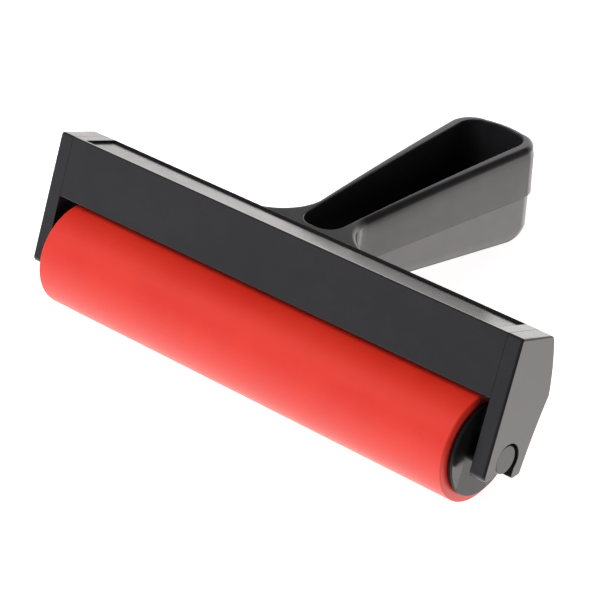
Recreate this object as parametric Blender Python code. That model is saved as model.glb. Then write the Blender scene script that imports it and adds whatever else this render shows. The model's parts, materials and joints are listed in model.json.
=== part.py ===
"""A printmaker's rubber brayer: a moulded frame with a trough handle and a roller that snaps out.

Every piece is modelled in the bridge's own directions, with the origin on the axle:
+X along the roller, +Y towards the handle, +Z square to the bridge's top. One empty then tips
the whole tool back until the roller and the end of the handle both rest on the plane z = 0,
and puts the middle of its footprint at x = y = 0.
"""

import math

import bmesh
import bpy

MM = 0.001
GAP = 0.3 * MM
EDGE = 0.5 * MM

# Roller
ROLLER_RADIUS = 15.8 * MM
ROLLER_LENGTH = 150.0 * MM
RUBBER_BORE = 12.3 * MM
TUBE_RADIUS = 12.0 * MM
TUBE_BORE = 10.0 * MM
FLANGE_RADIUS = 13.35 * MM
FLANGE_THICKNESS = 1.45 * MM
SPIGOT_RADIUS = TUBE_BORE - GAP
SPIGOT_LENGTH = 12.0 * MM
AXLE_RADIUS = 4.1 * MM
AXLE_LENGTH = 168.0 * MM
PLUG_BORE = AXLE_RADIUS + GAP

# Bridge: a channel over the roller, open below
FRAME_WIDTH = 168.7 * MM
CHEEK_THICKNESS = 4.85 * MM
BRIDGE_TOP = 34.35 * MM
BRIDGE_HEIGHT = 18.2 * MM
BRIDGE_FRONT = -8.45 * MM
BRIDGE_BACK = 6.25 * MM
BRIDGE_WALL = 2.4 * MM
RECESS_DEPTH = 0.7 * MM
RECESS_DRAFT = 0.15 * MM
RECESS_FRONT_RIM = 1.3 * MM
RECESS_BACK_RIM = 1.0 * MM
RECESS_END_RIM = 4.0 * MM

# Cheeks: front edge straight, back edge bowed out to its widest point, a slot for the axle open below.
# Corners are (y, z, radius of the rounding)
SLOT_RADIUS = AXLE_RADIUS + 0.4 * MM
SLOT_STEPS = 12
TOP_FRONT_CORNER = (BRIDGE_FRONT, BRIDGE_TOP, 0.8 * MM)
FRONT_LEG_FOOT = (BRIDGE_FRONT, -6.2 * MM, 1.5 * MM)
MOUTH_FRONT = (-SLOT_RADIUS, -4.4 * MM, 0.0)
MOUTH_BACK = (SLOT_RADIUS, -5.1 * MM, 0.0)
BACK_LEG_TIP = (5.3 * MM, -5.8 * MM, 0.5 * MM)
BACK_LEG_HEEL = (8.2 * MM, -4.8 * MM, 1.0 * MM)
CHEEK_WIDEST = (12.0 * MM, 17.3 * MM)
TOP_BACK_ROUND = 2.0 * MM
UPPER_BOW = 0.6 * MM
LOWER_BOW = -0.4 * MM
TONGUE_LENGTH = 5.5 * MM
TONGUE_RISE = 1.2 * MM

# Handle: rim, seam and underside rise from the bridge's back, and the outline widens to the rear
RIM_RISE = 0.352
RIM_DROP = 0.15 * MM
RIM_CROWN = 0.6 * MM
SEAM_RISE = 0.3
SEAM_DROP = 11.6 * MM
UNDERSIDE_RISE = 0.2115
UNDERSIDE_DROP = 18.95 * MM
RIM_REACH = 84.1 * MM
SEAM_REACH = 87.05 * MM
UNDERSIDE_REACH = 89.5 * MM
FLARE_BITE = 0.25 * MM
NECK_HALF_WIDTH = 9.2 * MM
NECK_REACH = 13.2 * MM
FLARE_HALF_WIDTH = 17.0 * MM
FLARE_DEPTH = NECK_REACH + FLARE_BITE
SIDE_FLARE = 0.0884
END_BOW = 0.9 * MM
END_CORNER = 7.9 * MM
BOW_SHARES = (0.6, 0.3, 0.0)
SEAM_STEP = 0.45 * MM
SIDE_DRAFT = 0.95 * MM
UNDERSIDE_ROUND = 4.0 * MM
LOWER_DRAFT = 0.3 * MM
EDGE_ROUND = 0.5 * MM
HANDLE_FLOOR = 2.2 * MM
TROUGH_HALF_WIDTH = 6.95 * MM
TROUGH_FLARE = 0.0645
TROUGH_REACH = 81.6 * MM
TROUGH_END_BOW = 0.85 * MM
TROUGH_END_CORNER = 5.65 * MM
TROUGH_FRONT = 1.3 * MM
TROUGH_FRONT_DRAFT = 1.4 * MM
TROUGH_CORNER = 5.0 * MM
TROUGH_LIFT = 4.0 * MM
ROOT = 0.4 * MM
OVERLAP = 1.0 * MM

ROUND_STEPS = 64
CORNER_STEPS = 6
ROUND_LEVELS = 4
SIDE_STEPS = 5


def clear_scene():
    for obj in list(bpy.data.objects):
        bpy.data.objects.remove(obj, do_unlink=True)


def material(name, colour, roughness, metallic=0.0):
    made = bpy.data.materials.new(name)
    made.use_nodes = True
    shader = made.node_tree.nodes["Principled BSDF"]
    shader.inputs["Base Color"].default_value = (*colour, 1.0)
    shader.inputs["Roughness"].default_value = roughness
    shader.inputs["Metallic"].default_value = metallic
    made.diffuse_color = (*colour, 1.0)
    return made


def new_object(name, shape, finish, parent=None):
    """The bmesh as a scene object, with normals out and shading smooth up to 35 degrees."""
    bmesh.ops.recalc_face_normals(shape, faces=shape.faces)
    mesh = bpy.data.meshes.new(name)
    shape.to_mesh(mesh)
    shape.free()
    mesh.materials.append(finish)
    mesh.shade_smooth()
    mesh.set_sharp_from_angle(angle=math.radians(35))
    made = bpy.data.objects.new(name, mesh)
    bpy.context.scene.collection.objects.link(made)
    made.parent = parent
    return made


def skin(levels, closed_tube=False):
    """The faces between rings of points, and the rings themselves."""
    shape = bmesh.new()
    rings = [[shape.verts.new(point) for point in ring] for ring in levels]
    pairs = list(zip(rings, rings[1:]))
    if closed_tube:
        pairs.append((rings[-1], rings[0]))
    for lower, upper in pairs:
        for i in range(len(lower)):
            j = (i + 1) % len(lower)
            shape.faces.new((lower[i], lower[j], upper[j], upper[i]))
    return shape, rings


def loft(levels, closed_tube=False):
    """A closed skin over rings of points: capped at both ends, or joined last ring to first."""
    shape, rings = skin(levels, closed_tube)
    if not closed_tube:
        shape.faces.new(rings[0])
        shape.faces.new(rings[-1])
    return shape


def strip_capped(levels):
    """A closed skin over mirrored rings, capped by strips across X = 0, so the caps may be arched."""
    shape, rings = skin(levels)
    for points in (rings[0], rings[-1]):
        last = len(points) - 1
        for i in range(last // 2 - 1):
            shape.faces.new((points[i], points[i + 1], points[last - i - 1], points[last - i]))
        tip = last // 2
        shape.faces.new((points[tip - 1], points[tip], points[tip + 1]))
    return shape


def box(low, high):
    (x0, y0, z0), (x1, y1, z1) = low, high
    ring = ((x0, y0), (x1, y0), (x1, y1), (x0, y1))
    return loft([[(x, y, z) for x, y in ring] for z in (z0, z1)])


def turned(profile, closed_tube=True):
    """A profile of (x, radius) points turned about the X axis."""
    turns = [2 * math.pi * k / ROUND_STEPS for k in range(ROUND_STEPS)]
    return loft([[(x, r * math.cos(t), r * math.sin(t)) for t in turns] for x, r in profile], closed_tube)


def corner(before, point, after, radius, steps=CORNER_STEPS):
    """Points of the arc that rounds one corner of an outline."""
    def unit(a, b):
        length = math.hypot(b[0] - a[0], b[1] - a[1])
        return (b[0] - a[0]) / length, (b[1] - a[1]) / length

    to_before, to_after = unit(point, before), unit(point, after)
    half = math.acos(to_before[0] * to_after[0] + to_before[1] * to_after[1]) / 2
    along = radius / math.tan(half)
    middle = (to_before[0] + to_after[0], to_before[1] + to_after[1])
    scale = radius / math.sin(half) / math.hypot(*middle)
    centre = (point[0] + middle[0] * scale, point[1] + middle[1] * scale)
    start = (point[0] + to_before[0] * along, point[1] + to_before[1] * along)
    angle = math.atan2(start[1] - centre[1], start[0] - centre[0])
    cross = to_before[0] * to_after[1] - to_before[1] * to_after[0]
    sweep = math.copysign(math.pi - 2 * half, -cross)
    turns = [angle + sweep * k / steps for k in range(steps + 1)]
    return [(centre[0] + radius * math.cos(t), centre[1] + radius * math.sin(t)) for t in turns]


def rounded(outline):
    """An outline of (x, y, radius) corners, with each radius above zero turned into an arc."""
    points = []
    for i, (x, y, radius) in enumerate(outline):
        before, after = outline[i - 1][:2], outline[(i + 1) % len(outline)][:2]
        points += corner(before, (x, y), after, radius) if radius > 0 else [(x, y)]
    return points


def bowed(start, end, bow, steps=CORNER_STEPS):
    """Points between two ends of a shallow curve that stands off its chord, to the right of travel."""
    length = math.hypot(end[0] - start[0], end[1] - start[1])
    right = ((end[1] - start[1]) / length, (start[0] - end[0]) / length)
    points = []
    for k in range(1, steps):
        share = k / steps
        off = 4 * bow * share * (1 - share)
        points.append(tuple(a + (b - a) * share + n * off for a, b, n in zip(start, end, right)))
    return points


def cut(target, name, shape, finish):
    """Takes a hidden cutter away from the target with a live Boolean."""
    cutter = new_object(name, shape, finish, target.parent)
    cutter.hide_render = True
    cutter.display_type = "WIRE"
    boolean = target.modifiers.new(name, "BOOLEAN")
    boolean.operation = "DIFFERENCE"
    boolean.solver = "EXACT"
    boolean.object = cutter
    return cutter


def join(target, name, shape, finish):
    cut(target, name, shape, finish)
    target.modifiers[name].operation = "UNION"


# Roller ------------------------------------------------------------------------------------


def rubber_sleeve(finish, parent):
    half = ROLLER_LENGTH / 2
    outer = [(half, ROLLER_RADIUS - EDGE), (half - EDGE, ROLLER_RADIUS)]
    profile = [(half, RUBBER_BORE)] + outer + [(-x, r) for x, r in reversed(outer)] + [(-half, RUBBER_BORE)]
    new_object("rubber_sleeve", turned(profile), finish, parent)


def core_tube(finish, parent):
    half = ROLLER_LENGTH / 2
    profile = [(half, TUBE_BORE), (half, TUBE_RADIUS), (-half, TUBE_RADIUS), (-half, TUBE_BORE)]
    new_object("core_tube", turned(profile), finish, parent)


def end_plug(name, side, finish, parent):
    """A flange that closes the roller's end, and a spigot inside the tube, bored for the axle."""
    inner = ROLLER_LENGTH / 2 + GAP
    outer = inner + FLANGE_THICKNESS
    tip = inner - SPIGOT_LENGTH
    profile = [
        (outer, PLUG_BORE),
        (outer, FLANGE_RADIUS - EDGE),
        (outer - EDGE, FLANGE_RADIUS),
        (inner, FLANGE_RADIUS),
        (inner, SPIGOT_RADIUS),
        (tip + EDGE, SPIGOT_RADIUS),
        (tip, SPIGOT_RADIUS - EDGE),
        (tip, PLUG_BORE),
    ]
    new_object(name, turned([(side * x, r) for x, r in profile]), finish, parent)


def axle(finish, parent):
    half = AXLE_LENGTH / 2
    end = [(half, AXLE_RADIUS - EDGE), (half - EDGE, AXLE_RADIUS)]
    profile = end + [(-x, r) for x, r in reversed(end)]
    new_object("axle", turned(profile, closed_tube=False), finish, parent)


# Cheeks ------------------------------------------------------------------------------------


def cheek_outline():
    """The side view, from the front top corner down the front leg, round the slot and up the back."""
    turns = [math.pi * k / SLOT_STEPS for k in range(SLOT_STEPS + 1)]
    arch = [(-SLOT_RADIUS * math.cos(t), SLOT_RADIUS * math.sin(t)) for t in turns]
    top_back = (BRIDGE_BACK, BRIDGE_TOP)
    front_leg = rounded([TOP_FRONT_CORNER, FRONT_LEG_FOOT, MOUTH_FRONT, (*top_back, 0)])[:-1]
    back_leg = rounded([MOUTH_BACK, BACK_LEG_TIP, BACK_LEG_HEEL, (*CHEEK_WIDEST, 0)])[:-1]
    upper_back = bowed(CHEEK_WIDEST, top_back, UPPER_BOW)
    top_corner = corner(upper_back[-1], top_back, TOP_FRONT_CORNER[:2], TOP_BACK_ROUND)
    lower_back = bowed(back_leg[-1], CHEEK_WIDEST, LOWER_BOW)
    return front_leg + arch + back_leg + lower_back + [CHEEK_WIDEST] + upper_back + top_corner


def cheek(name, side, finish, parent):
    """An end plate with a tongue that locates it inside the bridge's channel."""
    outer = FRAME_WIDTH / 2
    inner = outer - CHEEK_THICKNESS + GAP / 2
    plate = new_object(
        name,
        loft([[(side * x, y, z) for y, z in cheek_outline()] for x in (inner, outer)]),
        finish,
        parent,
    )
    clear = BRIDGE_WALL + GAP
    ends = sorted((side * (inner - TONGUE_LENGTH), side * (inner + OVERLAP)))
    low = (ends[0], BRIDGE_FRONT + clear, BRIDGE_TOP - BRIDGE_HEIGHT + TONGUE_RISE)
    high = (ends[1], BRIDGE_BACK - clear, BRIDGE_TOP - RECESS_DEPTH - clear)
    join(plate, name + "_tongue", box(low, high), finish)


# Bridge and handle -------------------------------------------------------------------------


def rim_height(reach):
    """The rim's line, arched a little between the bridge and the handle's end."""
    share = reach / RIM_REACH
    return BRIDGE_TOP - RIM_DROP + RIM_RISE * reach + 4 * RIM_CROWN * share * (1 - share)


def seam_height(reach):
    return BRIDGE_TOP - SEAM_DROP + SEAM_RISE * reach


def underside_height(reach):
    return BRIDGE_TOP - UNDERSIDE_DROP + UNDERSIDE_RISE * reach


def side_half_width(reach):
    return NECK_HALF_WIDTH + SIDE_FLARE * (reach - NECK_REACH)


def trough_half_width(reach):
    return TROUGH_HALF_WIDTH + TROUGH_FLARE * (reach - NECK_REACH)


def half_outline(start, end, widen, root=0.0):
    """Points (x, reach) on the +X side: the flare off the bridge, the side, the rounded end.

    A root carries the outline on, straight into the bridge's back wall."""
    points = []
    centre_x = NECK_HALF_WIDTH + widen + FLARE_HALF_WIDTH
    for k in range(CORNER_STEPS + 3):
        reach = start + (NECK_REACH - start) * k / (CORNER_STEPS + 2)
        down = max(-1.0, (reach - NECK_REACH) / FLARE_DEPTH)
        points.append((centre_x - FLARE_HALF_WIDTH * math.sqrt(1 - down * down), reach))
    if root > 0:
        points.insert(0, (points[0][0], start - root))
    last = end - END_BOW - END_CORNER
    for k in range(1, SIDE_STEPS + 1):
        reach = NECK_REACH + (last - NECK_REACH) * k / SIDE_STEPS
        points.append((side_half_width(reach) + widen, reach))
    return points + rounded_end(points[-1], END_CORNER, END_BOW)


def rounded_end(side, radius, bow):
    """The quarter turn from the side's last point into the end wall, then the wall's shallow bow."""
    centre = side[0] - radius
    turns = [math.pi / 2 * k / CORNER_STEPS for k in range(1, CORNER_STEPS + 1)]
    points = [(centre + radius * math.cos(t), side[1] + radius * math.sin(t)) for t in turns]
    for share in BOW_SHARES:
        points.append((centre * share, side[1] + radius + bow * (1 - share**2)))
    return points


def ring(half, height):
    """A whole outline, mirrored about X = 0 and set at the height its plane has there."""
    whole = half + [(-x, reach) for x, reach in reversed(half[:-1])]
    return [(x, BRIDGE_BACK + reach, height(reach)) for x, reach in whole]


def handle_upper_half():
    return strip_capped([
        ring(half_outline(-FLARE_BITE, RIM_REACH, 0.0, ROOT), rim_height),
        ring(half_outline(-FLARE_BITE, SEAM_REACH, SIDE_DRAFT, ROOT), lambda y: seam_height(y) + GAP / 2),
    ])


def underside_end(level):
    """Reach and lift of one step of the arc that rounds the end wall into the underside."""
    turn = math.pi / 2 * level / ROUND_LEVELS
    reach = UNDERSIDE_REACH - UNDERSIDE_ROUND * (1 - math.cos(turn))
    return reach, UNDERSIDE_ROUND * (1 - math.sin(turn))


def handle_lower_half():
    """The underside shell, set in by the step at the seam and rounded into its lower face."""
    widen = SIDE_DRAFT - SEAM_STEP
    levels = [ring(
        half_outline(GAP, SEAM_REACH - SEAM_STEP, widen),
        lambda reach: seam_height(reach) - GAP / 2,
    )]
    for k in range(ROUND_LEVELS + 1):
        end, lift = underside_end(k)
        inset = LOWER_DRAFT + EDGE_ROUND * (UNDERSIDE_REACH - end) / UNDERSIDE_ROUND
        levels.append(ring(
            half_outline(GAP, end, widen - inset),
            lambda reach, lift=lift: underside_height(reach) + lift,
        ))
    return strip_capped(levels)


def trough_outline(front, end, inset):
    """The hollow's outline: rounded front, widening sides, rounded end."""
    front_corner, end_corner = TROUGH_CORNER - inset, TROUGH_END_CORNER - inset
    first = front + front_corner
    front_half = trough_half_width(first) - inset
    turns = [math.pi / 2 * k / CORNER_STEPS for k in range(CORNER_STEPS + 1)]
    points = [
        (front_half - front_corner * (1 - math.sin(t)), front + front_corner * (1 - math.cos(t)))
        for t in turns
    ]
    last = end - TROUGH_END_BOW - end_corner
    for k in range(1, SIDE_STEPS + 1):
        reach = first + (last - first) * k / SIDE_STEPS
        points.append((trough_half_width(reach) - inset, reach))
    return points + rounded_end(points[-1], end_corner, TROUGH_END_BOW)


def trough():
    """The hollow of the handle, from above the rim down to its floor."""
    floor_reach = UNDERSIDE_REACH - HANDLE_FLOOR - UNDERSIDE_ROUND / 2
    top = trough_outline(TROUGH_FRONT, TROUGH_REACH, 0.0)
    floor = trough_outline(TROUGH_FRONT + TROUGH_FRONT_DRAFT, floor_reach, SIDE_DRAFT)
    return strip_capped([
        ring(top, lambda reach: rim_height(reach) + TROUGH_LIFT),
        ring(floor, lambda reach: underside_height(reach) + HANDLE_FLOOR),
    ])


def recess(half):
    """The shallow hollow in the bridge's top, its walls leaning outwards."""
    levels = []
    for widen, height in ((0.0, BRIDGE_TOP - RECESS_DEPTH), (RECESS_DRAFT, BRIDGE_TOP + OVERLAP)):
        x = half + widen
        front = BRIDGE_FRONT + RECESS_FRONT_RIM - widen
        back = BRIDGE_BACK - RECESS_BACK_RIM + widen
        levels.append([(-x, front, height), (x, front, height), (x, back, height), (-x, back, height)])
    return loft(levels)


def frame_body(finish, parent):
    half = FRAME_WIDTH / 2 - CHEEK_THICKNESS - GAP / 2
    bottom = BRIDGE_TOP - BRIDGE_HEIGHT
    body = new_object(
        "frame_body", box((-half, BRIDGE_FRONT, bottom), (half, BRIDGE_BACK, BRIDGE_TOP)), finish, parent
    )
    join(body, "upper_handle_add", handle_upper_half(), finish)
    beyond = half + OVERLAP
    channel_top = BRIDGE_TOP - RECESS_DEPTH - BRIDGE_WALL
    channel = box(
        (-beyond, BRIDGE_FRONT + BRIDGE_WALL, bottom - OVERLAP),
        (beyond, BRIDGE_BACK - BRIDGE_WALL, channel_top),
    )
    cut(body, "channel_cutter", channel, finish)
    cut(body, "recess_cutter", recess(half - RECESS_END_RIM), finish)
    cut(body, "trough_cutter_upper", trough(), finish)


def handle_underside(finish, parent):
    shell = new_object("handle_underside", handle_lower_half(), finish, parent)
    cut(shell, "trough_cutter_lower", trough(), finish)


# Assembly ----------------------------------------------------------------------------------


def resting_tilt():
    """How far the tool tips back before the end of its underside is level with the roller's lowest line."""
    tilts = []
    for k in range(ROUND_LEVELS + 1):
        reach, lift = underside_end(k)
        y, z = BRIDGE_BACK + reach, underside_height(reach) + lift
        tilts.append(math.atan2(z, y) + math.asin(ROLLER_RADIUS / math.hypot(y, z)))
    return min(tilts)


def axle_setback(tilt):
    """How far the axle lies in front of the middle of the resting tool's length."""
    y, z = BRIDGE_BACK + RIM_REACH, rim_height(RIM_REACH)
    rear = y * math.cos(tilt) + z * math.sin(tilt)
    return (rear - ROLLER_RADIUS) / 2


def main():
    clear_scene()
    tilt = resting_tilt()
    pose = bpy.data.objects.new("resting_pose", None)
    pose.location = (0, -axle_setback(tilt), ROLLER_RADIUS)
    pose.rotation_euler = (-tilt, 0, 0)
    roller = bpy.data.objects.new("roller_axis", None)
    roller.parent = pose
    for empty in (pose, roller):
        bpy.context.scene.collection.objects.link(empty)

    plastic = material("black_plastic", (0.022, 0.021, 0.024), 0.38)
    plug_plastic = material("black_plug_plastic", (0.012, 0.012, 0.013), 0.25)
    rubber = material("red_rubber", (0.80, 0.045, 0.030), 0.45)
    core = material("grey_core_plastic", (0.25, 0.25, 0.24), 0.5)

    frame_body(plastic, pose)
    handle_underside(plastic, pose)
    cheek("left_cheek", -1, plastic, pose)
    cheek("right_cheek", 1, plastic, pose)
    axle(plug_plastic, roller)
    rubber_sleeve(rubber, roller)
    core_tube(core, roller)
    end_plug("left_end_plug", -1, plug_plastic, roller)
    end_plug("right_end_plug", 1, plug_plastic, roller)


main()
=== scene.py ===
"""Looks of a printmaker's rubber brayer: fine-edged moulded shells, a ground rubber roller, soft light.

Every piece is built in the tool's own directions (+X along the roller, +Y towards the handle,
+Z square to the bridge's top, origin on the axle) and moved into the row frame by one matrix.
"""

import json
import math

import bmesh
import bpy
from mathutils import Matrix, Vector


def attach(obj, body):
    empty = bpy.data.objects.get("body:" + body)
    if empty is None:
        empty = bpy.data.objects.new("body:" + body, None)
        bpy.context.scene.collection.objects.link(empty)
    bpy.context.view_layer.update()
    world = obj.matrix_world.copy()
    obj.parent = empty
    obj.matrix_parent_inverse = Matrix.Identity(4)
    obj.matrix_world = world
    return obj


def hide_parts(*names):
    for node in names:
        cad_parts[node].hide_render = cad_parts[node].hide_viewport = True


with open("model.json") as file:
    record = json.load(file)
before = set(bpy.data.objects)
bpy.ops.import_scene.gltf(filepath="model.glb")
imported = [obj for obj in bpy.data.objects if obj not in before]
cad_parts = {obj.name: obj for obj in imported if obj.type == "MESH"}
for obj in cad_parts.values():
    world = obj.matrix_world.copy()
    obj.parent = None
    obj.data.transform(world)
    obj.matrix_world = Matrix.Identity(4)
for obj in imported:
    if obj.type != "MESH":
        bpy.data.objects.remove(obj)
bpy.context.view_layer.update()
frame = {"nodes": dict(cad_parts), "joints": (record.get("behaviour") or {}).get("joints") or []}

MM = 0.001

# Fine edges and joints between mouldings
SEAM_GAP = 0.05 * MM
SEAM_EDGE = 0.07 * MM
CAD_GAP = 0.3 * MM

# Bridge
BRIDGE_WALL = 2.4 * MM
RECESS_DEPTH = 0.7 * MM
RECESS_DRAFT = 0.05 * MM
RECESS_FRONT_RIM = 1.3 * MM
RECESS_BACK_RIM = 1.0 * MM
RECESS_END_RIM = 4.0 * MM
RECESS_CORNER = 0.35 * MM
RECESS_EDGE = 0.12 * MM
RECESS_LIFT = 1.0 * MM
FRONT_TOP_ROUND = 0.45 * MM
BACK_TOP_ROUND = 0.9 * MM
BOTTOM_ROUND = 0.35 * MM
CHANNEL_EDGE = 0.25 * MM
CHANNEL_FILLET = 0.8 * MM

# Cheeks: places are (y, z), with the radius of the corner's rounding third where they carry one.
# The front leg's foot lies in the bridge's front plane, so it has only its height and its rounding
FRONT_LEG_FOOT = (-6.2 * MM, 1.5 * MM)
TOP_FRONT_ROUND = 0.8 * MM
TOP_BACK_ROUND = 2.0 * MM
MOUTH_LIP = (-3.0 * MM, -3.85 * MM)
MOUTH_LIP_ROUND = 0.3 * MM
MOUTH_BACK = (4.35 * MM, -5.3 * MM)
SEAT_CENTRE = (0.3 * MM, -0.05 * MM)
SEAT_RADIUS = 4.75 * MM
SEAT_LIP_GAP = 0.12  # radians of the seat's arc left off beside the lip's rounding
BACK_LEG_TIP = (5.3 * MM, -5.8 * MM, 0.5 * MM)
BACK_LEG_HEEL = (8.2 * MM, -4.8 * MM, 1.0 * MM)
CHEEK_WIDEST = (12.0 * MM, 17.3 * MM)
UPPER_BOW = 0.6 * MM
LOWER_BOW = -0.4 * MM
FRONT_EDGE = 0.7 * MM
CHEEK_EDGE = 0.45 * MM
SEAT_EDGE = 0.18 * MM
TONGUE_LENGTH = 5.5 * MM
TONGUE_RISE = 1.2 * MM
TONGUE_ROUND = 0.6 * MM
TONGUE_OVERLAP = 1.0 * MM

# Handle: rim, seam and underside rise from the bridge's back, and the outline widens to the rear
RIM_RISE = 0.352
RIM_DROP = 0.15 * MM
RIM_CROWN = 0.6 * MM
SEAM_RISE = 0.3
SEAM_DROP = 11.6 * MM
UNDERSIDE_RISE = 0.2115
UNDERSIDE_DROP = 18.95 * MM
RIM_REACH = 84.1 * MM
SEAM_REACH = 87.05 * MM
UNDERSIDE_REACH = 89.5 * MM
FLARE_BITE = 0.25 * MM
ROOT = 0.4 * MM
NECK_HALF_WIDTH = 9.2 * MM
NECK_REACH = 13.2 * MM
FLARE_HALF_WIDTH = 17.0 * MM
FLARE_DEPTH = NECK_REACH + FLARE_BITE
SIDE_FLARE = 0.0884
END_BOW = 0.9 * MM
END_CORNER = 7.9 * MM
SIDE_DRAFT = 0.95 * MM
SEAM_STEP = 0.45 * MM
SEAM_ROUND = 0.3 * MM
RIM_ROUND_WIDTH = 1.8 * MM
RIM_ROUND_DEPTH = 1.9 * MM
RIM_INNER_ROUND = 0.35 * MM
UNDERSIDE_ROUND = 4.0 * MM
LOWER_DRAFT = 0.3 * MM
EDGE_ROUND = 0.5 * MM
HANDLE_FLOOR = 2.2 * MM
FLOOR_ROUND = 1.5 * MM
TROUGH_HALF_WIDTH = 6.95 * MM
TROUGH_FLARE = 0.0645
TROUGH_REACH = 81.6 * MM
TROUGH_END_BOW = 0.85 * MM
TROUGH_END_CORNER = 5.65 * MM
TROUGH_FRONT = 1.3 * MM
TROUGH_FRONT_DRAFT = 1.4 * MM
TROUGH_CORNER = 5.0 * MM
TROUGH_LIFT = 4.0 * MM

# Roller
RUBBER_BORE = 12.3 * MM
RUBBER_EDGE = 0.45 * MM
FLANGE_EDGE = 0.35 * MM
SPIGOT_RADIUS = 9.7 * MM
SPIGOT_LENGTH = 12.0 * MM
PLUG_BORE = 4.4 * MM
FLANGE_THICKNESS = 1.45 * MM
AXLE_EDGE = 0.3 * MM
RUBBER_RINGS = (0.6, 0.2, -0.2, -0.6)  # extra rings along the skin, as shares of its half length

# Past a rounded edge, as shares of its radius: (out, down), so that a cutter leaves the face cleanly
OVER_THE_EDGE = (1.4, -0.1)

TURN_STEPS = 192
ARC_STEPS = 8
CORNER_STEPS = 14
EDGE_STEPS = 4
FLARE_STEPS = 20
SIDE_STEPS = 16
END_STEPS = 6
WALL_LEVELS = 4
SEAT_STEPS = 24
BEVEL_SAMPLES = 4
SMOOTH_ANGLE = math.radians(32)

# Colours in linear light, darkest and lightest of each material
FRAME_DARK, FRAME_LIGHT = (0.013, 0.013, 0.0142), (0.018, 0.0178, 0.0192)
PLUG_DARK, PLUG_LIGHT = (0.006, 0.006, 0.0065), (0.010, 0.010, 0.011)
RUBBER_DARK, RUBBER_LIGHT = (0.72, 0.022, 0.010), (0.78, 0.033, 0.015)
CORE_DARK, CORE_LIGHT = (0.20, 0.20, 0.19), (0.30, 0.30, 0.29)
FLOOR_DARK, FLOOR_LIGHT = (0.86, 0.86, 0.86), (0.90, 0.90, 0.90)
RUBBER_SHEEN = (1.0, 0.72, 0.60, 1.0)
WHITE = (1.0, 1.0, 1.0, 1.0)

# Smoothest and roughest gloss, rubbing on edges, and mirror shine
FRAME_GLOSS, FRAME_SHINE = (0.17, 0.24), 0.5
PLUG_GLOSS, PLUG_SHINE = (0.14, 0.22), 0.35
EDGE_WEAR = 0.5
EDGE_DULLING = 0.05
WORN_EDGE = 0.35 * MM
GRAINED_SHINE = 0.6  # share of the shine left on the recess's fine-grained floor

# Cosines between a face's normal and the softened normal: flat at the first, a full edge at the second
FLAT_FACE, FULL_EDGE = 0.999, 0.93

# Stage: a floor just under the part, and white all round it to the camera
FLOOR_HALF_SIZE = 3.0
FLOOR_DROP = 0.02 * MM
FLOOR_GLOW = 0.86
BACKDROP_GLOW = 1.05

# Lobes of the studio's light, in the tool's own directions.
# Each is (direction, full within and gone beyond so many degrees, light)
AMBIENT = (0.07, 0.07, 0.08)
LOBES = (
    ((0.0, 1.0, -0.10), 30, 72, (1.05, 1.00, 0.97)),
    ((0.68, 0.67, -0.30), 5, 22, (2.20, 2.11, 2.06)),
    ((-0.30, 0.85, 0.42), 14, 40, (1.25, 1.22, 1.20)),
    ((0.20, 0.95, -0.20), 5, 18, (1.20, 1.16, 1.14)),
    ((-0.95, -0.30, -0.20), 20, 70, (0.55, 0.53, 0.58)),
    ((0.0, 0.0, -1.0), 20, 78, (1.50, 1.47, 1.44)),
)

# Soft lights: name, place in the tool's own directions, power in watts
LIGHT_SIZE = 0.9
LIGHTS = (
    ("front_fill", (-0.5, -1.0, 0.7), 13.5),
    ("low_fill", (-0.8, -1.0, -0.5), 4.0),
    ("side_fill", (1.2, -0.35, 0.1), 4.0),
)

# Camera, in the tool's own directions: turned about up, tilted from straight down, rolled about its view
CAMERA_PLACE = (0.42106, -0.57144, 0.20425)
CAMERA_TURN = math.radians(35.910)
CAMERA_TILT = math.radians(75.043)
CAMERA_ROLL = math.radians(14.545)
CAMERA_LENS = 159.53
CAMERA_SENSOR = 36.0


# The tool's own directions, and the sizes read off the frame ---------------------------------


def tool_matrix():
    """The tool's own axes in the row frame: the slide runs along -Z, the hinge through the origin."""
    joints = {joint["name"]: joint for joint in frame["joints"]}
    up = -Vector(joints["axle_release"]["axis"]).normalized()
    along = Vector(joints["roller_spin"]["axis"]).normalized()
    matrix = Matrix((along, up.cross(along), up)).transposed().to_4x4()
    matrix.translation = Vector(joints["roller_spin"]["pos_m"])
    return matrix


TOOL = tool_matrix()


def tool_box(node):
    """Lowest and highest corners of a CAD node along the tool's own axes."""
    inverse = TOOL.inverted()
    points = [inverse @ vertex.co for vertex in frame["nodes"][node].data.vertices]
    return tuple(Vector([pick(p[i] for p in points) for i in range(3)]) for pick in (min, max))


cheek_low, cheek_high = tool_box("right_cheek")
body_low, body_high = tool_box("frame_body")
under_low = tool_box("handle_underside")[0]
sleeve_high = tool_box("rubber_sleeve")[1]
plug_high = tool_box("right_end_plug")[1]
axle_high = tool_box("axle")[1]

BRIDGE_TOP = cheek_high.z
BRIDGE_FRONT = cheek_low.y
BRIDGE_BOTTOM = body_low.z
BRIDGE_BACK = under_low.y - CAD_GAP
SEAM_X = body_high.x + CAD_GAP / 2
CHEEK_FACE = cheek_high.x
ROLLER_END = sleeve_high.x
ROLLER_RADIUS = sleeve_high.z
FLANGE_FACE = plug_high.x
FLANGE_RADIUS = plug_high.z
AXLE_END = axle_high.x
AXLE_RADIUS = axle_high.z


# Outlines ------------------------------------------------------------------------------------


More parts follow.
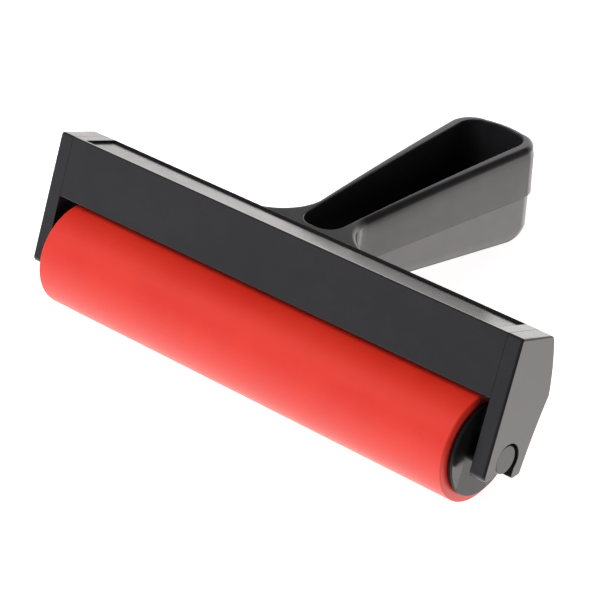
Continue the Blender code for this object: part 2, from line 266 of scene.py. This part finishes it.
def corner(before, point, after, radius, steps=ARC_STEPS):
    """Points of the arc that rounds one corner of an outline."""
    def unit(a, b):
        length = math.hypot(b[0] - a[0], b[1] - a[1])
        return (b[0] - a[0]) / length, (b[1] - a[1]) / length

    to_before, to_after = unit(point, before), unit(point, after)
    half = math.acos(to_before[0] * to_after[0] + to_before[1] * to_after[1]) / 2
    along = radius / math.tan(half)
    middle = (to_before[0] + to_after[0], to_before[1] + to_after[1])
    scale = radius / math.sin(half) / math.hypot(*middle)
    centre = (point[0] + middle[0] * scale, point[1] + middle[1] * scale)
    start = (point[0] + to_before[0] * along, point[1] + to_before[1] * along)
    angle = math.atan2(start[1] - centre[1], start[0] - centre[0])
    cross = to_before[0] * to_after[1] - to_before[1] * to_after[0]
    sweep = math.copysign(math.pi - 2 * half, -cross)
    turns = [angle + sweep * k / steps for k in range(steps + 1)]
    return [(centre[0] + radius * math.cos(t), centre[1] + radius * math.sin(t)) for t in turns]


def rounded(outline):
    """An outline of (x, y, radius) corners, with each radius above zero turned into an arc."""
    points = []
    for i, (x, y, radius) in enumerate(outline):
        before, after = outline[i - 1][:2], outline[(i + 1) % len(outline)][:2]
        points += corner(before, (x, y), after, radius) if radius > 0 else [(x, y)]
    return points


def bowed(start, end, bow, steps=ARC_STEPS):
    """Points between two ends of a shallow curve that stands off its chord, to the right of travel."""
    length = math.hypot(end[0] - start[0], end[1] - start[1])
    right = ((end[1] - start[1]) / length, (start[0] - end[0]) / length)
    points = []
    for k in range(1, steps):
        share = k / steps
        off = 4 * bow * share * (1 - share)
        points.append(tuple(a + (b - a) * share + n * off for a, b, n in zip(start, end, right)))
    return points


def inset(outline, distances):
    """A closed outline moved inwards, each point by its own distance along its mean normal."""
    count = len(outline)
    area = sum(
        outline[i - 1][0] * outline[i][1] - outline[i][0] * outline[i - 1][1] for i in range(count)
    )
    inward = 1.0 if area > 0 else -1.0
    moved = []
    for i, (x, y) in enumerate(outline):
        normals = []
        for a, b in ((outline[i - 1], (x, y)), ((x, y), outline[(i + 1) % count])):
            dx, dy = b[0] - a[0], b[1] - a[1]
            length = math.hypot(dx, dy)
            normals.append((-dy / length * inward, dx / length * inward))
        nx, ny = normals[0][0] + normals[1][0], normals[0][1] + normals[1][1]
        scale = 2 * distances[i] / (nx * nx + ny * ny)
        moved.append((x + nx * scale, y + ny * scale))
    return moved


def quarter(steps):
    """(1 - cos, 1 - sin) over a quarter turn: how far in and how far short each step of an edge is."""
    turns = [math.pi / 2 * k / steps for k in range(steps + 1)]
    return [(1 - math.cos(t), 1 - math.sin(t)) for t in turns]


# Mesh helpers --------------------------------------------------------------------------------


def skin(levels, closed_tube=False):
    """The faces between rings of points, and the rings themselves."""
    shape = bmesh.new()
    rings = [[shape.verts.new(point) for point in ring] for ring in levels]
    pairs = list(zip(rings, rings[1:]))
    if closed_tube:
        pairs.append((rings[-1], rings[0]))
    for lower, upper in pairs:
        for i in range(len(lower)):
            j = (i + 1) % len(lower)
            shape.faces.new((lower[i], lower[j], upper[j], upper[i]))
    return shape, rings


def loft(levels, closed_tube=False):
    """A closed skin over rings of points: capped at both ends, or joined last ring to first."""
    shape, rings = skin(levels, closed_tube)
    if not closed_tube:
        shape.faces.new(rings[0])
        shape.faces.new(rings[-1])
    return shape


def strip_capped(levels):
    """A closed skin over mirrored rings, capped by strips across X = 0, so the caps may be arched."""
    shape, rings = skin(levels)
    for points in (rings[0], rings[-1]):
        last = len(points) - 1
        for i in range(last // 2 - 1):
            shape.faces.new((points[i], points[i + 1], points[last - i - 1], points[last - i]))
        tip = last // 2
        shape.faces.new((points[tip - 1], points[tip], points[tip + 1]))
    return shape


def turned(profile, closed_tube=True):
    """A profile of (x, radius) points turned about the X axis."""
    turns = [2 * math.pi * k / TURN_STEPS for k in range(TURN_STEPS)]
    levels = [[(x, r * math.cos(t), r * math.sin(t)) for t in turns] for x, r in profile]
    return loft(levels, closed_tube)


def slab(outline, low, high, low_edge, high_edge):
    """A (y, z) outline as a plate from x = low to high, its two rims rounded by the edges given.

    An edge is one radius for the whole outline, or a list with one for each point."""
    levels = []
    for x, inward, edges, order in ((low, 1, low_edge, -1), (high, -1, high_edge, 1)):
        radii = edges if isinstance(edges, list) else [edges] * len(outline)
        for across, short in quarter(EDGE_STEPS)[::order]:
            points = inset(outline, [radius * across for radius in radii])
            depths = [x + inward * radius * short for radius in radii]
            levels.append([(depth, y, z) for depth, (y, z) in zip(depths, points)])
    return loft(levels)


def mirrored(shape):
    """The same shape on the other side of X = 0."""
    bmesh.ops.scale(shape, vec=(-1, 1, 1), verts=shape.verts)
    return shape


def new_object(name, shape):
    bmesh.ops.recalc_face_normals(shape, faces=shape.faces)
    mesh = bpy.data.meshes.new(name)
    shape.to_mesh(mesh)
    shape.free()
    made = bpy.data.objects.new(name, mesh)
    bpy.context.scene.collection.objects.link(made)
    return made


def combine(target, others, operation):
    """Booleans the other objects into the target for good, and removes them."""
    for other in others:
        boolean = target.modifiers.new(other.name, "BOOLEAN")
        boolean.operation = operation
        boolean.solver = "EXACT"
        boolean.object = other
    bake(target)
    for other in others:
        bpy.data.objects.remove(other, do_unlink=True)


def bake(target):
    """Replaces the target's mesh with its mesh after modifiers."""
    graph = bpy.context.evaluated_depsgraph_get()
    mesh = bpy.data.meshes.new_from_object(target.evaluated_get(graph))
    target.modifiers.clear()
    target.data = mesh


def finish_piece(piece, body, node, finish):
    """Shades, places and registers one piece."""
    mesh = piece.data
    mesh.materials.clear()
    mesh.materials.append(finish)
    mesh.shade_smooth()
    mesh.set_sharp_from_angle(angle=SMOOTH_ANGLE)
    weighted = piece.modifiers.new("weighted_normals", "WEIGHTED_NORMAL")
    weighted.keep_sharp = True
    weighted.mode = "FACE_AREA"
    weighted.weight = 100
    mesh.transform(TOOL)
    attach(piece, body)
    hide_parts(node)
    return piece


# Bridge and handle ---------------------------------------------------------------------------


def rim_height(reach):
    """The rim's line, arched a little between the bridge and the handle's end."""
    share = reach / RIM_REACH
    return BRIDGE_TOP - RIM_DROP + RIM_RISE * reach + 4 * RIM_CROWN * share * (1 - share)


def seam_height(reach):
    return BRIDGE_TOP - SEAM_DROP + SEAM_RISE * reach


def underside_height(reach):
    return BRIDGE_TOP - UNDERSIDE_DROP + UNDERSIDE_RISE * reach


def side_half_width(reach):
    return NECK_HALF_WIDTH + SIDE_FLARE * (reach - NECK_REACH)


def trough_half_width(reach):
    return TROUGH_HALF_WIDTH + TROUGH_FLARE * (reach - NECK_REACH)


def rounded_end(side, radius, bow):
    """The quarter turn from the side's last point into the end wall, then the wall's shallow bow."""
    centre = side[0] - radius
    turns = [math.pi / 2 * k / CORNER_STEPS for k in range(1, CORNER_STEPS + 1)]
    points = [(centre + radius * math.cos(t), side[1] + radius * math.sin(t)) for t in turns]
    for k in range(END_STEPS - 1, -1, -1):
        share = k / END_STEPS
        points.append((centre * share, side[1] + radius + bow * (1 - share**2)))
    return points


def half_outline(start, end, widen, shrink=0.0, root=0.0):
    """Points (x, reach) on the +X side: the flare off the bridge, the side, the rounded end.

    Shrink moves the whole outline in. A root carries it on, straight into the bridge's back wall."""
    centre = NECK_HALF_WIDTH + widen + FLARE_HALF_WIDTH
    width, depth = FLARE_HALF_WIDTH + shrink, FLARE_DEPTH + shrink
    first = math.acos(min(1.0, (NECK_REACH - start) / depth))
    points = []
    for k in range(FLARE_STEPS + 1):
        turn = first + (math.pi / 2 - first) * k / FLARE_STEPS
        points.append((centre - width * math.sin(turn), NECK_REACH - depth * math.cos(turn)))
    if root > 0:
        points.insert(0, (points[0][0], start - root))
    last = end - END_BOW - END_CORNER
    for k in range(1, SIDE_STEPS + 1):
        reach = NECK_REACH + (last - NECK_REACH) * k / SIDE_STEPS
        points.append((side_half_width(reach) + widen - shrink, reach))
    return points + rounded_end(points[-1], END_CORNER - shrink, END_BOW)


def ring(half, height):
    """A whole outline, mirrored about X = 0 and set at the height its plane has there."""
    whole = half + [(-x, reach) for x, reach in reversed(half[:-1])]
    return [(x, BRIDGE_BACK + reach, height(reach)) for x, reach in whole]


def upper_handle():
    """The upper half of the handle, solid, with a crisp lower edge and a soft rim."""
    levels = []
    for short, across in quarter(EDGE_STEPS):
        half = half_outline(-FLARE_BITE, SEAM_REACH, SIDE_DRAFT, SEAM_ROUND * across, ROOT)
        levels.append(ring(half, lambda y, s=short: seam_height(y) + SEAM_GAP / 2 + SEAM_ROUND * s))

    def wall(share, shrink=0.0, drop=0.0):
        half = half_outline(
            -FLARE_BITE, RIM_REACH + (SEAM_REACH - RIM_REACH) * share, SIDE_DRAFT * share, shrink, ROOT
        )
        def height(y):
            return rim_height(y) - drop + (seam_height(y) - rim_height(y)) * share
        return ring(half, height)

    levels += [wall(k / WALL_LEVELS) for k in range(WALL_LEVELS - 1, 0, -1)]
    for across, short in quarter(ARC_STEPS):
        levels.append(wall(0.0, RIM_ROUND_WIDTH * across, RIM_ROUND_DEPTH * short))
    return strip_capped(levels)


def lower_handle():
    """The underside shell, set in by the step at the seam and rounded into its lower face."""
    widen = SIDE_DRAFT - SEAM_STEP
    start = SEAM_GAP
    levels = []
    for across, short in quarter(EDGE_STEPS)[::-1]:
        half = half_outline(start, SEAM_REACH - SEAM_STEP, widen, SEAM_ROUND * across)
        levels.append(ring(half, lambda y, s=short: seam_height(y) - SEAM_GAP / 2 - SEAM_ROUND * s))
    for across, short in quarter(ARC_STEPS):
        inward = widen - LOWER_DRAFT - EDGE_ROUND * across
        half = half_outline(start, UNDERSIDE_REACH - UNDERSIDE_ROUND * across, inward)
        levels.append(ring(half, lambda y, s=short: underside_height(y) + UNDERSIDE_ROUND * s))
    return strip_capped(levels)


def trough_outline(front, end, inward):
    """The hollow's outline: rounded front, widening sides, rounded end."""
    front_corner, end_corner = TROUGH_CORNER - inward, TROUGH_END_CORNER - inward
    first = front + front_corner
    front_half = trough_half_width(first) - inward
    turns = [math.pi / 2 * k / CORNER_STEPS for k in range(CORNER_STEPS + 1)]
    points = [
        (front_half - front_corner * (1 - math.sin(t)), front + front_corner * (1 - math.cos(t)))
        for t in turns
    ]
    last = end - TROUGH_END_BOW - end_corner
    for k in range(1, SIDE_STEPS + 1):
        reach = first + (last - first) * k / SIDE_STEPS
        points.append((trough_half_width(reach) - inward, reach))
    return points + rounded_end(points[-1], end_corner, TROUGH_END_BOW)


def trough():
    """The hollow of the handle, from its floor up past the rim, with the rim's inner edge eased."""
    levels = []
    floor_end = UNDERSIDE_REACH - HANDLE_FLOOR - UNDERSIDE_ROUND / 2
    floor_front = TROUGH_FRONT + TROUGH_FRONT_DRAFT
    for across, short in quarter(EDGE_STEPS)[::-1]:
        step = FLOOR_ROUND * across
        lift = HANDLE_FLOOR + FLOOR_ROUND * short
        half = trough_outline(floor_front + step, floor_end - step, SIDE_DRAFT + step)
        levels.append(ring(half, lambda y, up=lift: underside_height(y) + up))
    over = [(0.0, 1.0)] + quarter(EDGE_STEPS)[1:-1] + [OVER_THE_EDGE]
    for across, short in over:
        step = RIM_INNER_ROUND * across
        half = trough_outline(TROUGH_FRONT - step, TROUGH_REACH + step, -step)
        levels.append(ring(half, lambda y, s=short: rim_height(y) - RIM_INNER_ROUND * s))
    levels.append(ring(half, lambda y: rim_height(y) + TROUGH_LIFT))
    return strip_capped(levels)


def bridge_profile():
    """The channel's section in (y, z), legs down, each corner with its own rounding."""
    front, back = BRIDGE_FRONT, BRIDGE_BACK
    ceiling = BRIDGE_TOP - RECESS_DEPTH - BRIDGE_WALL
    return rounded([
        (front, BRIDGE_BOTTOM, BOTTOM_ROUND),
        (front, BRIDGE_TOP, FRONT_TOP_ROUND),
        (back, BRIDGE_TOP, BACK_TOP_ROUND),
        (back, BRIDGE_BOTTOM, BOTTOM_ROUND),
        (back - BRIDGE_WALL, BRIDGE_BOTTOM, CHANNEL_EDGE),
        (back - BRIDGE_WALL, ceiling, CHANNEL_FILLET),
        (front + BRIDGE_WALL, ceiling, CHANNEL_FILLET),
        (front + BRIDGE_WALL, BRIDGE_BOTTOM, CHANNEL_EDGE),
    ])


def recess():
    """The shallow hollow in the bridge's top, its upper edge eased."""
    depths = [(0.0, RECESS_DEPTH), (RECESS_DRAFT, RECESS_EDGE)]
    depths += [
        (RECESS_DRAFT + RECESS_EDGE * across, RECESS_EDGE * short)
        for across, short in quarter(EDGE_STEPS)[1:-1] + [OVER_THE_EDGE]
    ]
    depths.append((depths[-1][0], -RECESS_LIFT))
    levels = []
    for widen, depth in depths:
        x = SEAM_X - RECESS_END_RIM + widen
        front = BRIDGE_FRONT + RECESS_FRONT_RIM - widen
        back = BRIDGE_BACK - RECESS_BACK_RIM + widen
        corners = ((-x, front), (x, front), (x, back), (-x, back))
        outline = rounded([(px, py, RECESS_CORNER + widen) for px, py in corners])
        levels.append([(px, py, BRIDGE_TOP - depth) for px, py in outline])
    return loft(levels)


def frame_moulding(finish):
    """The bridge and the upper half of the handle, one moulding."""
    end = SEAM_X - SEAM_GAP / 2
    body = new_object("frame_moulding", slab(bridge_profile(), -end, end, SEAM_EDGE, SEAM_EDGE))
    combine(body, [new_object("upper_handle", upper_handle())], "UNION")
    combine(body, [new_object("recess", recess()), new_object("trough", trough())], "DIFFERENCE")
    return finish_piece(body, "frame", "frame_body", finish)


def handle_cover(finish):
    """The lower half of the handle."""
    cover = new_object("handle_cover", lower_handle())
    combine(cover, [new_object("trough", trough())], "DIFFERENCE")
    return finish_piece(cover, "frame", "handle_underside", finish)


# Cheeks --------------------------------------------------------------------------------------


def cheek_outline():
    """The side view with each point's edge radius: down the front leg, round the seat, up the back."""
    front, top = BRIDGE_FRONT, BRIDGE_TOP
    top_back = (BRIDGE_BACK, top)
    foot_z, foot_round = FRONT_LEG_FOOT
    front_leg = rounded([
        (front, top, TOP_FRONT_ROUND),
        (front, foot_z, foot_round),
        (*MOUTH_LIP, MOUTH_LIP_ROUND),
        (*top_back, 0),
    ])[:-1]
    seat_y, seat_z = SEAT_CENTRE
    lip = math.atan2(MOUTH_LIP[1] - seat_z, MOUTH_LIP[0] - seat_y) + 2 * math.pi - SEAT_LIP_GAP
    heel = math.acos((MOUTH_BACK[0] - seat_y) / SEAT_RADIUS)
    turns = [lip + (-heel - lip) * k / SEAT_STEPS for k in range(SEAT_STEPS + 1)]
    seat = [(seat_y + SEAT_RADIUS * math.cos(t), seat_z + SEAT_RADIUS * math.sin(t)) for t in turns]
    back_leg = rounded([(*MOUTH_BACK, 0), BACK_LEG_TIP, BACK_LEG_HEEL, (*CHEEK_WIDEST, 0)])[:-1]
    upper_back = bowed(CHEEK_WIDEST, top_back, UPPER_BOW)
    top_corner = corner(upper_back[-1], top_back, (front, top), TOP_BACK_ROUND)
    lower_back = bowed(back_leg[-1], CHEEK_WIDEST, LOWER_BOW)
    outline = front_leg + seat + back_leg + lower_back + [CHEEK_WIDEST] + upper_back + top_corner
    radii = [FRONT_EDGE] * (len(front_leg) - ARC_STEPS - 1)
    radii += [SEAT_EDGE] * (ARC_STEPS + 1 + len(seat) + 1)
    radii += [CHEEK_EDGE] * (len(outline) - len(radii))
    return outline, radii


def cheek_plate(name, side, node, finish):
    """An end plate with a tongue that locates it inside the bridge's channel."""
    outline, radii = cheek_outline()
    inner = SEAM_X + SEAM_GAP / 2
    shape = slab(outline, inner, CHEEK_FACE, SEAM_EDGE, radii)
    clear = BRIDGE_WALL + CAD_GAP
    low, high = BRIDGE_BOTTOM + TONGUE_RISE, BRIDGE_TOP - RECESS_DEPTH - clear
    tongue_outline = rounded([
        (BRIDGE_FRONT + clear, low, TONGUE_ROUND),
        (BRIDGE_BACK - clear, low, TONGUE_ROUND),
        (BRIDGE_BACK - clear, high, TONGUE_ROUND),
        (BRIDGE_FRONT + clear, high, TONGUE_ROUND),
    ])
    tongue_end = inner + TONGUE_OVERLAP
    tongue = slab(tongue_outline, SEAM_X - TONGUE_LENGTH, tongue_end, CHEEK_EDGE, SEAM_EDGE)
    if side < 0:
        shape, tongue = mirrored(shape), mirrored(tongue)
    plate = new_object(name, shape)
    combine(plate, [new_object(name + "_tongue", tongue)], "UNION")
    return finish_piece(plate, "frame", node, finish)


# Roller --------------------------------------------------------------------------------------


def rubber_roll(finish):
    end = [(ROLLER_END - RUBBER_EDGE * short, ROLLER_RADIUS - RUBBER_EDGE * across)
           for across, short in quarter(ARC_STEPS)]
    outer = [(ROLLER_END, RUBBER_BORE)] + end[::-1]
    middle = [(ROLLER_END * share, ROLLER_RADIUS) for share in RUBBER_RINGS]
    profile = outer + middle + [(-x, r) for x, r in reversed(outer)]
    roll = new_object("rubber_roll", turned(profile))
    return finish_piece(roll, "roller", "rubber_sleeve", finish)


def end_plug(name, side, node, finish):
    """A flange with an eased edge, and a spigot inside the tube, bored for the axle."""
    back = FLANGE_FACE - FLANGE_THICKNESS
    tip = back - SPIGOT_LENGTH
    edge = [(FLANGE_FACE - FLANGE_EDGE * short, FLANGE_RADIUS - FLANGE_EDGE * across)
            for across, short in quarter(ARC_STEPS)]
    profile = [(FLANGE_FACE, PLUG_BORE)] + edge[::-1] + [
        (back + SEAM_EDGE, FLANGE_RADIUS),
        (back, FLANGE_RADIUS - SEAM_EDGE),
        (back, SPIGOT_RADIUS),
        (tip + FLANGE_EDGE, SPIGOT_RADIUS),
        (tip, SPIGOT_RADIUS - FLANGE_EDGE),
        (tip, PLUG_BORE),
    ]
    plug = new_object(name, turned([(side * x, r) for x, r in profile]))
    return finish_piece(plug, "roller", node, finish)


def axle_rod(finish):
    end = [(AXLE_END - AXLE_EDGE * short, AXLE_RADIUS - AXLE_EDGE * across)
           for across, short in quarter(ARC_STEPS)][::-1]
    profile = end + [(-x, r) for x, r in reversed(end)]
    rod = new_object("axle_rod", turned(profile, closed_tube=False))
    return finish_piece(rod, "axle", "axle", finish)


# Materials -----------------------------------------------------------------------------------


class Graph:
    """A short way to add and link shader nodes."""

    def __init__(self, tree):
        self.tree = tree

    def add(self, kind, inputs=None, **settings):
        node = self.tree.nodes.new(kind)
        for key, value in settings.items():
            setattr(node, key, value)
        for key, value in (inputs or {}).items():
            self.put(node.inputs[key], value)
        return node

    def put(self, socket, value):
        if isinstance(value, bpy.types.NodeSocket):
            self.tree.links.new(value, socket)
        else:
            socket.default_value = value

    def math(self, operation, a, b=0.0, clamp=False):
        inputs = {0: a, 1: b}
        return self.add("ShaderNodeMath", inputs, operation=operation, use_clamp=clamp).outputs[0]

    def remap(self, value, low, high, to_low=0.0, to_high=1.0):
        """A smooth step: to_low where the value is at or past low, to_high where it is at or past high."""
        inputs = {
            "Value": value,
            "From Min": low,
            "From Max": high,
            "To Min": to_low,
            "To Max": to_high,
        }
        node = self.add("ShaderNodeMapRange", inputs, interpolation_type="SMOOTHSTEP")
        return node.outputs["Result"]

    def blend(self, a, a_share, b, b_share):
        """Two values added by their shares."""
        first, second = self.math("MULTIPLY", a, a_share), self.math("MULTIPLY", b, b_share)
        return self.math("ADD", first, second)

    def noise(self, coords, scale, detail, roughness=0.55, stretch=(1.0, 1.0, 1.0)):
        mapping = self.add("ShaderNodeMapping", {"Vector": coords, "Scale": stretch})
        inputs = {
            "Vector": mapping.outputs[0],
            "Scale": scale,
            "Detail": detail,
            "Roughness": roughness,
        }
        return self.add("ShaderNodeTexNoise", inputs).outputs["Fac"]

    def bump(self, height, distance, strength, normal=None):
        inputs = {"Height": height, "Distance": distance, "Strength": strength}
        if normal is not None:
            inputs["Normal"] = normal
        return self.add("ShaderNodeBump", inputs).outputs["Normal"]

    def edge_mask(self, radius):
        """1 on edges tighter than the radius, 0 on flats."""
        soft = self.add("ShaderNodeBevel", {"Radius": radius}, samples=BEVEL_SAMPLES).outputs["Normal"]
        flat = self.add("ShaderNodeNewGeometry").outputs["Normal"]
        return self.remap(self.dot(soft, flat), FLAT_FACE, FULL_EDGE)

    def dot(self, a, b):
        node = self.add("ShaderNodeVectorMath", {0: a, 1: b}, operation="DOT_PRODUCT")
        return node.outputs["Value"]


def new_material(name):
    made = bpy.data.materials.new(name)
    made.use_nodes = True
    made.node_tree.nodes.clear()
    graph = Graph(made.node_tree)
    shader = graph.add("ShaderNodeBsdfPrincipled")
    output = graph.add("ShaderNodeOutputMaterial")
    graph.put(output.inputs["Surface"], shader.outputs["BSDF"])
    inputs = {
        "Vector": graph.add("ShaderNodeTexCoord").outputs["Object"],
        "Location": TOOL.translation,
        "Rotation": TOOL.to_euler(),
    }
    coords = graph.add("ShaderNodeMapping", inputs, vector_type="TEXTURE").outputs[0]
    return made, graph, shader, coords


def mix_colour(graph, factor, dark, light):
    mix = graph.add("ShaderNodeMix", data_type="RGBA")
    graph.put(mix.inputs["Factor"], factor)
    graph.put(mix.inputs["A"], (*dark, 1.0))
    graph.put(mix.inputs["B"], (*light, 1.0))
    return mix.outputs["Result"]


def inside_channel(graph, coords):
    """1 between the bridge's outer walls and below its rims: the recess's floor and the channel."""
    place = graph.add("ShaderNodeSeparateXYZ", {"Vector": coords}).outputs
    along = graph.math("ABSOLUTE", place["X"])
    limits = (
        ("LESS_THAN", along, SEAM_X - RECESS_END_RIM / 2),
        ("GREATER_THAN", place["Y"], BRIDGE_FRONT + RECESS_FRONT_RIM / 2),
        ("LESS_THAN", place["Z"], BRIDGE_TOP - RECESS_DEPTH / 2),
        ("LESS_THAN", place["Y"], BRIDGE_BACK - RECESS_BACK_RIM / 2),
    )
    mask = 1.0
    for operation, value, limit in limits:
        mask = graph.math("MULTIPLY", mask, graph.math(operation, value, limit))
    return mask


def moulded_plastic(name, dark, light, gloss, shine):
    """Injection-moulded plastic: faint flow marks, fine grain in its gloss, rubbed edges."""
    made, graph, shader, coords = new_material(name)
    flow = graph.noise(coords, scale=38.0, detail=2.0, stretch=(0.5, 1.0, 1.6))
    grain = graph.noise(coords, scale=5200.0, detail=2.0)
    smudge = graph.noise(coords, scale=160.0, detail=4.0, roughness=0.62)
    edges = graph.edge_mask(WORN_EDGE)
    tone = graph.remap(graph.blend(flow, 0.6, smudge, 0.4), low=0.3, high=0.7, to_high=0.8)
    worn = graph.math("MULTIPLY", edges, EDGE_WEAR)
    shade = graph.math("ADD", tone, worn, clamp=True)
    graph.put(shader.inputs["Base Color"], mix_colour(graph, shade, dark, light))
    smudged = graph.remap(smudge, low=0.25, high=0.75, to_low=gloss[0], to_high=gloss[1])
    dulled = graph.math("MULTIPLY", edges, EDGE_DULLING)
    graph.put(shader.inputs["Roughness"], graph.math("ADD", smudged, dulled))
    grained = inside_channel(graph, coords)
    mirror = graph.remap(grained, low=0.0, high=1.0, to_low=shine, to_high=shine * GRAINED_SHINE)
    graph.put(shader.inputs["Specular IOR Level"], mirror)
    wave = graph.bump(flow, distance=0.35 * MM, strength=0.12)
    graph.put(shader.inputs["Normal"], graph.bump(grain, distance=0.004 * MM, strength=0.5, normal=wave))
    return made


def ground_rubber():
    """Soft red rubber, ground round: hair-fine rings, a dry bloom and a fine grain."""
    made, graph, shader, coords = new_material("ground_red_rubber")
    rings = graph.noise(coords, scale=900.0, detail=3.0, roughness=0.6, stretch=(1.0, 0.02, 0.02))
    bloom = graph.noise(coords, scale=45.0, detail=4.0, roughness=0.6)
    grain = graph.noise(coords, scale=3600.0, detail=2.0)
    shade = graph.remap(graph.blend(bloom, 0.7, grain, 0.3), low=0.35, high=0.65)
    rough = graph.remap(bloom, low=0.3, high=0.7, to_low=0.40, to_high=0.48)
    graph.put(shader.inputs["Base Color"], mix_colour(graph, shade, RUBBER_DARK, RUBBER_LIGHT))
    graph.put(shader.inputs["Roughness"], rough)
    graph.put(shader.inputs["Sheen Weight"], 0.25)
    graph.put(shader.inputs["Sheen Roughness"], 0.35)
    graph.put(shader.inputs["Sheen Tint"], RUBBER_SHEEN)
    ringed = graph.bump(rings, distance=0.006 * MM, strength=0.35)
    graph.put(shader.inputs["Normal"], graph.bump(grain, distance=0.006 * MM, strength=0.5, normal=ringed))
    return made


def core_plastic():
    """Drawn grey tube with faint lengthwise streaks."""
    made, graph, shader, coords = new_material("grey_core_plastic")
    drawn = graph.noise(coords, scale=700.0, detail=3.0, stretch=(0.02, 1.0, 1.0))
    rough = graph.remap(drawn, low=0.3, high=0.7, to_low=0.42, to_high=0.55)
    graph.put(shader.inputs["Base Color"], mix_colour(graph, drawn, CORE_DARK, CORE_LIGHT))
    graph.put(shader.inputs["Roughness"], rough)
    graph.put(shader.inputs["Normal"], graph.bump(drawn, distance=0.01 * MM, strength=0.4))
    return made


# Stage ---------------------------------------------------------------------------------------


def floor():
    """A glowing pale floor that only the camera sees, so it neither shades nor lights the part."""
    size = FLOOR_HALF_SIZE
    shape = bmesh.new()
    corners = ((-size, -size), (size, -size), (size, size), (-size, size))
    shape.faces.new([shape.verts.new((x, y, -FLOOR_DROP)) for x, y in corners])
    made = new_object("floor", shape)
    finish, graph, shader, coords = new_material("pale_floor")
    tone = graph.noise(coords, scale=6.0, detail=2.0)
    graph.put(shader.inputs["Base Color"], mix_colour(graph, tone, FLOOR_DARK, FLOOR_LIGHT))
    graph.put(shader.inputs["Roughness"], 0.9)
    graph.put(shader.inputs["Emission Color"], WHITE)
    graph.put(shader.inputs["Emission Strength"], FLOOR_GLOW)
    made.data.materials.append(finish)
    made.visible_glossy = False
    made.visible_diffuse = False
    made.visible_shadow = False


def studio_world():
    """The lobes as a soft world light, and plain white where the camera looks past the part."""
    world = bpy.data.worlds.new("studio")
    bpy.context.scene.world = world
    world.use_nodes = True
    world.node_tree.nodes.clear()
    graph = Graph(world.node_tree)
    ray = graph.add("ShaderNodeTexCoord").outputs["Generated"]
    total = graph.add("ShaderNodeRGB").outputs[0]
    total.default_value = (*AMBIENT, 1.0)
    for direction, full, gone, light in LOBES:
        axis = (TOOL.to_3x3() @ Vector(direction)).normalized()
        low, high = math.cos(math.radians(gone)), math.cos(math.radians(full))
        inside = graph.remap(graph.dot(ray, tuple(axis)), low, high)
        lobe = graph.add("ShaderNodeVectorMath", {0: light, "Scale": inside}, operation="SCALE")
        summed = graph.add("ShaderNodeVectorMath", {0: total, 1: lobe.outputs[0]}, operation="ADD")
        total = summed.outputs[0]
    lit = graph.add("ShaderNodeBackground", {"Color": total, "Strength": 1.0})
    white = graph.add("ShaderNodeBackground", {"Color": WHITE, "Strength": BACKDROP_GLOW})
    seen = graph.add("ShaderNodeLightPath").outputs["Is Camera Ray"]
    mix = graph.add("ShaderNodeMixShader", {0: seen, 1: lit.outputs[0], 2: white.outputs[0]})
    output = graph.add("ShaderNodeOutputWorld")
    graph.put(output.inputs["Surface"], mix.outputs[0])


def soft_light(name, place, power):
    """A square area light aimed at the tool's origin, without a reflection of its own."""
    data = bpy.data.lights.new(name, "AREA")
    data.shape = "SQUARE"
    data.size = LIGHT_SIZE
    data.energy = power
    made = bpy.data.objects.new(name, data)
    bpy.context.scene.collection.objects.link(made)
    made.visible_glossy = False
    made.location = TOOL @ Vector(place)
    made.rotation_euler = (TOOL.translation - made.location).to_track_quat("-Z", "Y").to_euler()


def camera():
    """Looks down on the front right corner, the tool's far end to the upper left."""
    turned_round = Matrix.Rotation(CAMERA_TURN, 4, "Z")
    tilted_up = Matrix.Rotation(CAMERA_TILT, 4, "X")
    rolled = Matrix.Rotation(CAMERA_ROLL, 4, "Z")
    data = bpy.data.cameras.new("camera")
    data.sensor_width = CAMERA_SENSOR
    data.lens = CAMERA_LENS
    made = bpy.data.objects.new("camera", data)
    bpy.context.scene.collection.objects.link(made)
    place = Matrix.Translation(CAMERA_PLACE)
    made.matrix_world = TOOL @ place @ turned_round @ tilted_up @ rolled
    bpy.context.scene.camera = made


def main():
    plastic = moulded_plastic("black_plastic", FRAME_DARK, FRAME_LIGHT, FRAME_GLOSS, FRAME_SHINE)
    plug_plastic = moulded_plastic("black_plug_plastic", PLUG_DARK, PLUG_LIGHT, PLUG_GLOSS, PLUG_SHINE)
    rubber = ground_rubber()
    frame_moulding(plastic)
    handle_cover(plastic)
    cheek_plate("left_cheek_plate", -1, "left_cheek", plastic)
    cheek_plate("right_cheek_plate", 1, "right_cheek", plastic)
    axle_rod(plug_plastic)
    rubber_roll(rubber)
    end_plug("left_plug", -1, "left_end_plug", plug_plastic)
    end_plug("right_plug", 1, "right_end_plug", plug_plastic)
    core = frame["nodes"]["core_tube"].data
    core.materials.clear()
    core.materials.append(core_plastic())
    floor()
    studio_world()
    for name, place, power in LIGHTS:
        soft_light(name, place, power)
    camera()
    bpy.context.scene.view_settings.view_transform = "Standard"


main()
